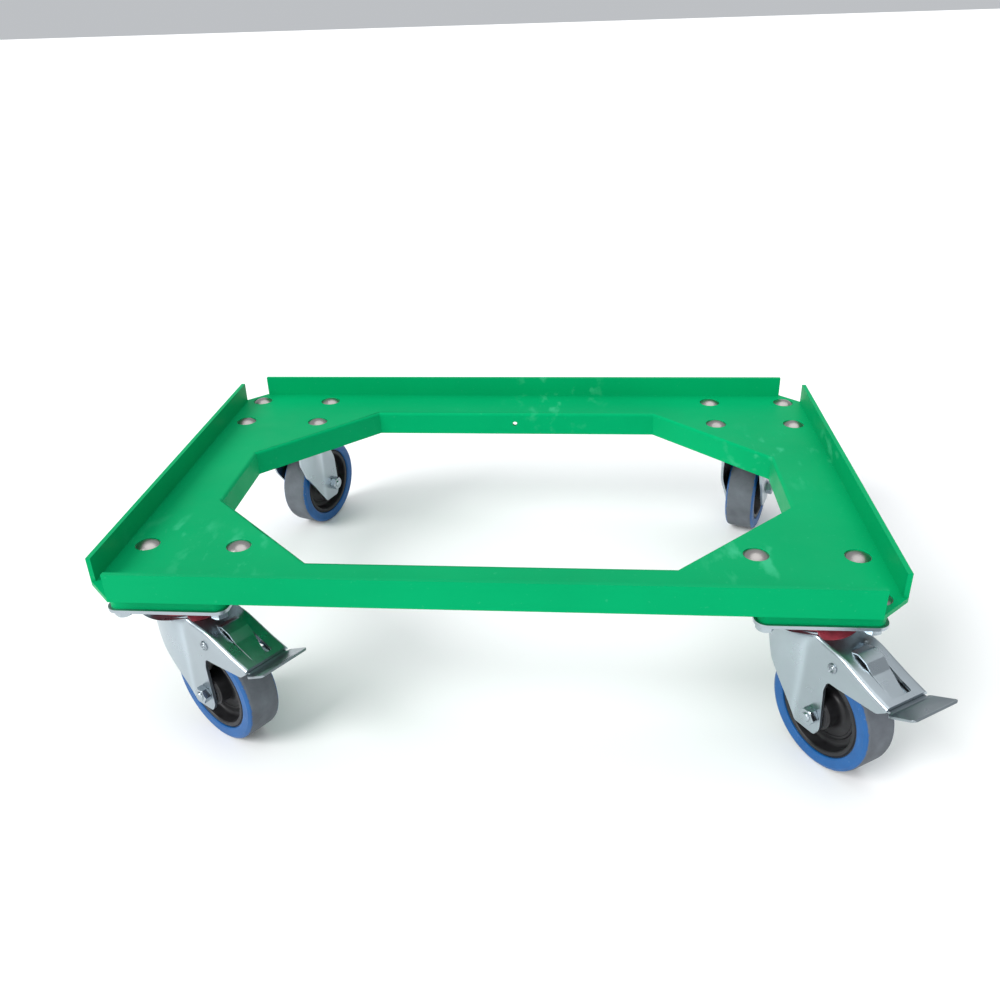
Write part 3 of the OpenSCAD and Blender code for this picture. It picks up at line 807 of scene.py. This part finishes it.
def along(line, x):
    """The height of an outline at x."""
    for (x0, z0), (x1, z1) in zip(line, line[1:]):
        if x <= x1:
            return z0 + (z1 - z0) * (x - x0) / (x1 - x0)
    return line[-1][1]


def top_plate():
    """Pressed plate with its dished head and four holes."""
    plate = prism(round_box(PLATE_L, PLATE_W, PLATE_R, 8), PLATE_LOW, PLATE_TOP)
    for x, y in BOLT_PATTERN:
        cut(plate, rod(BOLT_HOLE_R, 120, 140, x, y, 32))
    head = lathe(rounded([(KINGPIN_R, 126.5), (19, 126.5, 1), (20, 125.5, 1), (30, 125.5, 2.5),
                          (30.6, PLATE_LOW, 0.4), (33, PLATE_LOW + 0.5), (KINGPIN_R, 132)], 4), 96)
    combine(plate, head)
    cut(plate, rod(KINGPIN_R, 110, 150))
    soften(plate, 0.35, 2)
    smooth(plate)
    return plate


def seal_ring(braked):
    """Ring with a rolled foot and a groove; a braked one has a lip down on the cover."""
    outline = rounded([(30.4, CROWN_TOP), (32.4, CROWN_TOP, 0.5), (32.4, 125.2, 0.4),
                       (31.7, 125.9, 0.4), (31.9, 129.6, 0.4), (31.0, 130.6, 0.3),
                       (30.4, 130.6)], 3)
    ring = lathe(outline, 96)
    if braked:
        lip = lathe([(30.4, 116.5), (39.2, 116.5), (39.6, 118.9), (38.6, 119.9), (34.2, 123.2),
                     (32.0, 124.4), (30.4, 124.4)], 96)
        line = rounded(COVER_LINE, 6)
        gap, start, top = 0.05, 21, 130
        above = [(x, z + gap) for x, z in line if x > start]
        near = (start, along(line, start) + gap)
        wedge = prism([(start, top), near] + above + [(COVER_END, top)], -19, 19, upright=True)
        combine(lip, wedge, "INTERSECT")
        combine(ring, lip)
    smooth(ring)
    return ring


class DOLLY_OT_swivel_heads(bpy.types.Operator):
    """Models the top plates and the seal rings"""

    bl_idname = "dolly.swivel_heads"
    bl_label = "Swivel heads"

    def execute(self, context):
        seat_all(top_plate(), "top_plate", CORNERS, corner_place, finish_named("zinc"),
                 "deck")
        for braked, corners in ((True, BRAKED), (False, CORNERS[2:])):
            seat_all(seal_ring(braked), "seal_ring", corners, caster_place,
                     finish_named("seal"), "caster")
        return {"FINISHED"}


# ---- forks ----

LEG_FRONT = [(-20, 130), (-19, 95, 12), (-12, 76, 20), (17, 37, 4), (20, 33, 4),
             (41, 33, 4.5), (45.5, 41, 8)]
PLAIN_BACK = [(43, 81, 20), (26, CROWN_LOW, 4), (24, 130)]
ARM_BACK = [(43.2, 79, 5), (45.5, 88.5, 4.5), (54, 88.5, 3), (92, 91.5, 6),
            (99.5, 97.5, 1.5), (99.5, 130)]


# How a leg is drawn out in front of its crease: by FLARE under the crown, fading down
# over FLARE_FADE, and by LEG_BULGE there, less and less down to BULGE_FROM
FLARE = 7.5
FLARE_FADE = 5
LEG_BULGE = 5.25
BULGE_FROM = 40
CREASE_X = 19
FORK_LOW = 25
FORK_END = 102


def crease_at(z):
    """How far along a leg its flat part starts."""
    flare = FLARE * math.exp((z - CROWN_LOW) / FLARE_FADE)
    return CREASE_X + flare - max(0, 80 - z) * 0.05


def skin(x, z, flat):
    """Half the fork's width: flat behind a crease, drawn out before it into the round crown."""
    flare = FLARE * math.exp((z - CROWN_LOW) / FLARE_FADE)
    bulge = flare + LEG_BULGE * max(0, (z - BULGE_FROM) / (CROWN_LOW - BULGE_FROM))
    reach = flat + bulge
    length = crease_at(z) / math.sqrt(1 - (flat / reach) ** 2) if bulge > 0.01 else 500
    oval = reach * math.sqrt(max(0, 1 - (x / length) ** 2))
    if x < 0:
        return max(1, oval)
    soft = 0.9 + 2.6 * math.exp((z - CROWN_LOW) / 8)
    return max(oval, flat) + max(0, soft - abs(oval - flat)) ** 2 / (4 * soft)


def fork_body(line, thin, bend):
    """The fork's outside, or with its thickness in thin its hollow, as one body along X."""
    flat = LEG_OUT - thin
    tight, up, bent = 1.2, 14, 5
    places = range(-CROWN_R, FORK_END + 1, 2)
    rings = []
    for x in places:
        top = along(line, x) - thin
        if thin:
            top = min(top, CROWN_LOW)
        opened = min(1, max(0, (x - 14) / 20))
        turn = max(0.5, tight + (bend - tight) * opened - thin)
        side = []
        for k in range(up + 1):
            z = FORK_LOW + (top - turn - FORK_LOW) * (1 - (1 - k / up) ** 1.6)
            side.append((skin(x, z, flat), z))
        for k in range(1, bent + 1):
            angle = math.radians(90 * k / bent)
            z = top - turn + turn * math.sin(angle)
            side.append((max(0.5, skin(x, z, flat) - turn * (1 - math.cos(angle))), z))
        rings.append(side + [(-y, z) for y, z in reversed(side)])
    around = len(rings[0])
    let_go()
    bpy.ops.mesh.primitive_grid_add(x_subdivisions=around, y_subdivisions=len(places) - 1)
    body = bpy.context.object
    for index, vert in enumerate(body.data.vertices):
        row, column = divmod(index, around + 1)
        y, z = rings[row][column % around]
        vert.co = Vector((places[row], y, z)) * MM
    edit(body)
    bpy.ops.mesh.remove_doubles(threshold=1e-6)
    bpy.ops.mesh.select_all(action="SELECT")
    bpy.ops.mesh.fill_holes(sides=0)
    face_outwards(body)
    return body


def fork_piece(braked, sizes):
    """Pressed fork: two legs under a round crown, and on a braked one arms and their cover."""
    plain_line = [(-CROWN_R, CROWN_TOP), (COVER_END, CROWN_TOP)]
    line = rounded(COVER_LINE, 6) if braked else plain_line
    outline = rounded(LEG_FRONT + (ARM_BACK if braked else PLAIN_BACK), 5)
    shell = fork_body(line, 0, sizes.bend_radius / MM)
    combine(shell, prism(outline, -CROSS_REACH, CROSS_REACH, upright=True), "INTERSECT")
    cut(shell, fork_body(line, LEG_OUT - LEG_IN, sizes.bend_radius / MM))
    disc = lathe(rounded([(0, CROWN_LOW), (CROWN_R - 0.4, CROWN_LOW, 1.0),
                          (CROWN_R, CROWN_TOP, 1.2), (0, CROWN_TOP)], 4), 96)
    combine(shell, disc)
    cut(shell, rod(10, 100, 140))
    cut(shell, cross_rod(AXLE_HOLE_R, TRAIL, AXLE_Z, 40))
    if braked:
        cut(shell, cross_rod(PIN_HOLE_R, PIN_X, PIN_Z, 32))
        slot = rounded([(57, -10, 1), (57, 10, 1), (95, 9.6, 2), (95, -9.6, 2)], 3)
        cut(shell, prism(slot, 97, 130))
        tongue = prism(rounded([(50.5, 116.2), (58.5, 118.6, 3), (67.5, 115.4, 2.5),
                                (74.5, 108.8, 4), (94.5, 101.3), (94.2, 100.1),
                                (73.6, 107.7, 4), (66.7, 114.2, 2.5), (58.5, 117.1, 2),
                                (51, 114.9)], 4),
                       -9.2, 9.2, upright=True)
        bend_x, taper = 74 * MM, 0.29
        for vert in tongue.data.vertices:
            if vert.co.y > 0:
                vert.co.y -= max(0, vert.co.x - bend_x) * taper
        soften(tongue, 0.3, 2)
        combine(shell, tongue)
    soften(shell, 0.3, 2, 50)

    def paint_leg_highlight(place):
        """Painted highlight: paler before the crease, and palest in a strip along it, where the leg
        would reflect light.
        """
        ahead = place.x - crease_at(place.z)
        if abs(place.y) < LEG_IN + 1 or place.z > CROWN_LOW:
            return 0
        return 0.22 / (1 + math.exp(ahead / 1.5)) + 0.45 * math.exp(-(ahead / 3) ** 2)

    # The legs' outer faces get a painted highlight, lighter zinc in place of reflected light.
    paint(shell, "wear_and_painted_highlight", paint_leg_highlight)
    smooth(shell, 30)
    return shell


class DOLLY_OT_forks(bpy.types.Operator):
    """Models the two braked and the two plain forks"""

    bl_idname = "dolly.forks"
    bl_label = "Forks"

    def execute(self, context):
        sizes = context.scene.dolly_sizes
        for braked, corners in ((True, BRAKED), (False, CORNERS[2:])):
            seat_all(fork_piece(braked, sizes), "fork", corners, caster_place,
                     finish_named("zinc"), "caster")
        return {"FINISHED"}


# ---- axles ----


def axle_bolt():
    """Hexagon head, shank and threaded end along Z, its head below."""
    head = hexagon(-LEG_OUT - AXLE_HEAD_T, -LEG_OUT, 0)
    tip, plain, under = LEG_OUT + 8, LEG_OUT - 6, -LEG_OUT - INTO
    shank = [(r, -z) for r, z in threaded(BOLT_R, -tip, -plain)]
    shank += [(BOLT_R, plain), (BOLT_R, under), (0, under)]
    return join([head, lathe(shank, 40)])


class DOLLY_OT_axles(bpy.types.Operator):
    """Models the axle bolts and their nuts"""

    bl_idname = "dolly.axles"
    bl_label = "Axles"

    def execute(self, context):
        bolt = axle_bolt()
        smooth(bolt, 35)
        seat_all(bolt, "axle_bolt", CORNERS, axle_place, finish_named("nuts"),
                 "caster")
        nut = hexagon(LEG_OUT, LEG_OUT + NUT_T, NUT_BORE)
        seat_all(nut, "axle_nut", CORNERS, axle_place, finish_named("nuts"),
                 "caster")
        return {"FINISHED"}


# ---- wheels ----


def wheel_centre():
    """Hub with a collar, a dished web with a bead, and a rim with a raised edge."""
    half = rounded([(9.1, 0), (9.1, 18), (12.6, 18, 0.6), (13.2, 17.0, 0.4), (14.5, 16.6, 0.5),
                    (14.7, 3.6, 4), (24, 3.5, 0.5), (24.8, 4.3, 0.6), (26.4, 4.3, 0.6),
                    (27.2, 3.5, 0.5), (32.2, 3.5, 3.4), (33.6, 13.6, 0.8), (34.4, 14.5, 0.5),
                    (36.9, 14.5, 0.5), (37.6, 13.6, 0.5), (38.5, 13.4), (38.5, 0)], 4)
    centre = lathe(mirrored(half)[:-1], 128)
    smooth(centre, 40)
    return centre


def tyre():
    """Tyre with a stepped side, a rounded shoulder and a flat tread."""
    half = rounded([(38.5, 0), (38.5, 13.6), (38.9, 14.7, 0.5), (40.2, 15.3, 0.6),
                    (46.5, 15.5, 1.5), (49.2, 14.2, 1.6), (50, 11.6, 2), (50, 0)], 5)
    ring = lathe(mirrored(half)[:-1], 160)

    def tread(place):
        """High on the tread, nothing far down the sides, and less towards the tread's edges."""
        r = math.hypot(place.x, place.y)
        return (r - 47.4) / 3.0 - max(0, abs(place.z) - 12.6) * 0.16

    paint(ring, "tread", tread)
    smooth(ring, 40)
    return ring


class DOLLY_OT_wheels(bpy.types.Operator):
    """Models the wheel centres and the tyres"""

    bl_idname = "dolly.wheels"
    bl_label = "Wheels"

    def execute(self, context):
        seat_all(wheel_centre(), "wheel_centre", CORNERS, axle_place, finish_named("nylon"),
                 "wheel")
        seat_all(tyre(), "tyre", CORNERS, axle_place, finish_named("rubber"), "wheel")
        return {"FINISHED"}


# ---- brakes ----


def pedal_piece():
    """Two cheeks, a web, the shoe between them and the foot plate, one pressing."""
    cheek = rounded([(44, 99, 3), (44, 108, 4.5), (54, 108.3, 3), (83.75, 101), (98.5, 98.1),
                     (98.5, 96.1), (83.75, 93, 6), (48, 97.5, 4)], 4)
    pedal = prism(cheek, -CHEEK_OUT, -CHEEK_IN, upright=True)
    combine(pedal, prism(cheek, CHEEK_IN, CHEEK_OUT, upright=True))
    web = [(83.75, 101), (98.5, 98.1), (103.5, 98.4), (103.5, 96.5), (98.5, 96.1), (83.75, 99)]
    combine(pedal, prism(web, -CHEEK_OUT, CHEEK_OUT, upright=True))
    shoe = [(52.5, 104), (70.5, 104), (70.5, 95), (62, 98.5), (52.5, 101)]
    combine(pedal, prism(rounded(shoe), -16.6, 16.6, upright=True))
    foot = prism([(101.5, 96), (101.5, 98), (104, 98.7), (122.9, 108.6), (124, 107.2),
                  (104.6, 96.8)], -FOOT_Y, FOOT_Y, upright=True)
    wide = rounded([(101.5, -FOOT_Y, 3), (101.5, FOOT_Y, 3), (124.1, FOOT_Y, 3.5),
                    (124.1, -FOOT_Y, 3.5)], 5)
    combine(foot, prism(wide, 90, 115), "INTERSECT")
    combine(pedal, foot)
    cut(pedal, cross_rod(PEDAL_HOLE_R, PIN_X, PIN_Z, 32))
    soften(pedal, 0.45, 3, 45)
    smooth(pedal, 30)
    return pedal


def brake_pin():
    """Riveted pin: at each end a rolled ring round a dimple."""
    half = rounded([(0, 22.6), (1.2, 22.5, 0.4), (1.9, 21.75, 0.3), (2.5, 21.75, 0.2),
                    (2.9, 22.75, 0.3), (3.7, 22.6, 0.4), (4.25, 21.8, 0.3), (4.25, LEG_OUT),
                    (2.5, LEG_OUT)], 3)
    pin = lathe(mirrored(half), 40)
    turn = Matrix.Rotation(math.pi / 2, 4, "X")
    pin.data.transform(Matrix.Translation((PIN_X * MM, 0, PIN_Z * MM)) @ turn)
    smooth(pin, 40)
    return pin


class DOLLY_OT_brakes(bpy.types.Operator):
    """Models the two pedals and their pins"""

    bl_idname = "dolly.brakes"
    bl_label = "Brakes"

    def execute(self, context):
        seat_all(pedal_piece(), "brake_pedal", BRAKED, caster_place, finish_named("pedal"),
                 "pedal")
        seat_all(brake_pin(), "brake_pin", BRAKED, caster_place, finish_named("pedal"),
                 "caster")
        return {"FINISHED"}


# ---- pieces that keep their node's shape ----

KEPT = {
    "kingpin": "nuts", "lower_race": "steel", "swivel_balls": "steel", "axle_sleeve": "steel",
    "roller_bearing": "steel", "brake_spring": "spring",
}


class DOLLY_OT_inner_parts(bpy.types.Operator):
    """Gives the kingpins, races, balls, tubes, bearings and springs their finish"""

    bl_idname = "dolly.inner_parts"
    bl_label = "Inner parts"

    def execute(self, context):
        for name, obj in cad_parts.items():
            key = KEPT.get(name.rsplit("_", 2)[0])
            if key:
                for place in obj.material_slots:
                    place.material = finish_named(key)
        return {"FINISHED"}


# ---- stage ----


def softbox(name, towards, strength, spread):
    """A wide soft light that lies in a direction, its spread in degrees."""
    light = bpy.data.lights.new(name, "SUN")
    light.energy = strength
    light.angle = math.radians(spread)
    obj = bpy.data.objects.new(name, light)
    bpy.context.scene.collection.objects.link(obj)
    obj.rotation_euler = Vector(towards).to_track_quat("Z", "Y").to_euler()


# Where the camera stands, in metres, and its yaw, pitch and roll in degrees
CAMERA_PLACE = (0.0721, -0.8019, 0.5519)
CAMERA_TURN = (-5.6, -28.1, -1.9)


def studio_camera():
    """Camera in front of the dolly, a little to its right, looking down on the deck."""
    data = bpy.data.cameras.new("camera")
    data.sensor_width = 36
    data.lens = 33.94
    data.shift_x = 0.0021
    data.shift_y = 0.0066
    data.clip_start, data.clip_end = 0.01, 50
    cam = bpy.data.objects.new("camera", data)
    bpy.context.scene.collection.objects.link(cam)
    yaw, pitch, roll = (math.radians(angle) for angle in CAMERA_TURN)
    ahead = Vector((math.sin(yaw) * math.cos(pitch), math.cos(yaw) * math.cos(pitch),
                    math.sin(pitch)))
    right = Vector((math.cos(yaw), -math.sin(yaw), 0))
    up = right.cross(ahead)
    across = right * math.cos(roll) + up * math.sin(roll)
    upward = up * math.cos(roll) - right * math.sin(roll)
    turn = Matrix((across, upward, -ahead)).transposed().to_4x4()
    cam.matrix_world = Matrix.Translation(CAMERA_PLACE) @ turn
    bpy.context.scene.camera = cam


class DOLLY_OT_stage(bpy.types.Operator):
    """Sets the floor, the soft lights and the camera"""

    bl_idname = "dolly.stage"
    bl_label = "Stage"

    def execute(self, context):
        look = context.scene.dolly_stage
        let_go()
        bpy.ops.mesh.primitive_plane_add(size=look.floor_size, location=(0, 0, 0))
        floor = context.object
        floor.name = "floor"
        floor.data.materials.append(floor_paint(tuple(look.floor_colour)))
        softbox("key", (-0.62, -0.52, 0.62), look.key_strength, 32)
        softbox("top", (0.10, 0.15, 1.0), look.top_strength, 60)
        softbox("front", (0.15, -1.0, 0.22), look.front_strength, 50)
        world = bpy.data.worlds.new("studio")
        context.scene.world = world
        world.use_nodes = True
        back = world.node_tree.nodes["Background"]
        back.inputs["Color"].default_value = (*look.sky_colour, 1)
        back.inputs["Strength"].default_value = look.sky_strength
        context.scene.view_settings.view_transform = "Standard"
        studio_camera()
        return {"FINISHED"}


# ---- add-on ----


class DollySizes(bpy.types.PropertyGroup):
    deck_edge: bpy.props.FloatProperty(
        name="Deck edges", description="Radius of the moulding's edges",
        default=0.9 * MM, min=0.1 * MM, max=1.5 * MM, precision=5, unit="LENGTH")
    rim_radius: bpy.props.FloatProperty(
        name="Opening rim", description="Radius of the edge round the opening",
        default=3.2 * MM, min=1 * MM, max=3.8 * MM, precision=5, unit="LENGTH")
    bend_radius: bpy.props.FloatProperty(
        name="Cover bends", description="Outer radius of the bends beside a brake cover",
        default=3.6 * MM, min=1 * MM, max=5 * MM, precision=5, unit="LENGTH")


def colour_property(name, description, default):
    return bpy.props.FloatVectorProperty(
        name=name, description=description, default=default, size=3, min=0, max=1,
        subtype="COLOR")


class DollyColours(bpy.types.PropertyGroup):
    deck: colour_property("Deck", "Colour of the moulding", (0.0005, 0.33, 0.115))
    scuffs: colour_property("Scuffs", "Colour of the rubbed places", (0.07, 0.50, 0.27))
    zinc: colour_property("Zinc", "Colour of the plated steel", (0.40, 0.455, 0.49))
    bolts: colour_property("Bolts", "Colour of the carriage bolts", (0.40, 0.38, 0.365))
    seal: colour_property("Seal", "Colour of the seal rings", (0.30, 0.035, 0.052))
    wheel_centre: colour_property("Wheel centre", "Colour of the wheel centres",
                                  (0.010, 0.010, 0.011))
    rubber: colour_property("Rubber", "Colour of the tyres' sides", (0.004, 0.085, 0.27))
    dust: colour_property("Tread", "Colour of the dusty treads", (0.125, 0.14, 0.16))


class DollyStage(bpy.types.PropertyGroup):
    floor_size: bpy.props.FloatProperty(
        name="Floor", description="Side of the floor", default=60, min=2, unit="LENGTH")
    floor_colour: colour_property("Floor colour", "Colour of the floor", (0.93, 0.93, 0.93))
    key_strength: bpy.props.FloatProperty(
        name="Key light", description="Strength of the light from the front left",
        default=2.7, min=0)
    top_strength: bpy.props.FloatProperty(
        name="Top light", description="Strength of the light from above", default=1.0, min=0)
    front_strength: bpy.props.FloatProperty(
        name="Front light", description="Strength of the low light in front", default=0.7, min=0)
    sky_colour: colour_property("Surroundings", "Colour of the surroundings", (0.93, 0.96, 1.0))
    sky_strength: bpy.props.FloatProperty(
        name="Surroundings strength", description="Brightness of the surroundings", default=0.55)


OPERATORS = (DOLLY_OT_deck, DOLLY_OT_fasteners, DOLLY_OT_swivel_heads, DOLLY_OT_forks,
             DOLLY_OT_axles, DOLLY_OT_wheels, DOLLY_OT_brakes, DOLLY_OT_inner_parts,
             DOLLY_OT_stage)


class DOLLY_PT_panel(bpy.types.Panel):
    """Sizes, colours and operators of the dolly"""

    bl_idname = "DOLLY_PT_panel"
    bl_label = "Crate dolly"
    bl_space_type = "VIEW_3D"
    bl_region_type = "UI"
    bl_category = "Dolly"

    def draw(self, context):
        scene = context.scene
        for group in (scene.dolly_sizes, scene.dolly_colours, scene.dolly_stage):
            for key in group.__annotations__:
                self.layout.prop(group, key)
        for operator in OPERATORS:
            self.layout.operator(operator.bl_idname)


GROUPS = {"dolly_sizes": DollySizes, "dolly_colours": DollyColours, "dolly_stage": DollyStage}


def register():
    for cls in (*GROUPS.values(), *OPERATORS, DOLLY_PT_panel):
        bpy.utils.register_class(cls)
    for name, cls in GROUPS.items():
        setattr(bpy.types.Scene, name, bpy.props.PointerProperty(type=cls))


def unregister():
    for name in GROUPS:
        delattr(bpy.types.Scene, name)
    for cls in reversed((*GROUPS.values(), *OPERATORS, DOLLY_PT_panel)):
        bpy.utils.unregister_class(cls)


def main():
    register()
    bpy.ops.dolly.deck()
    bpy.ops.dolly.fasteners()
    bpy.ops.dolly.swivel_heads()
    bpy.ops.dolly.forks()
    bpy.ops.dolly.axles()
    bpy.ops.dolly.wheels()
    bpy.ops.dolly.brakes()
    bpy.ops.dolly.inner_parts()
    bpy.ops.dolly.stage()


if __name__ == "__main__":
    main()
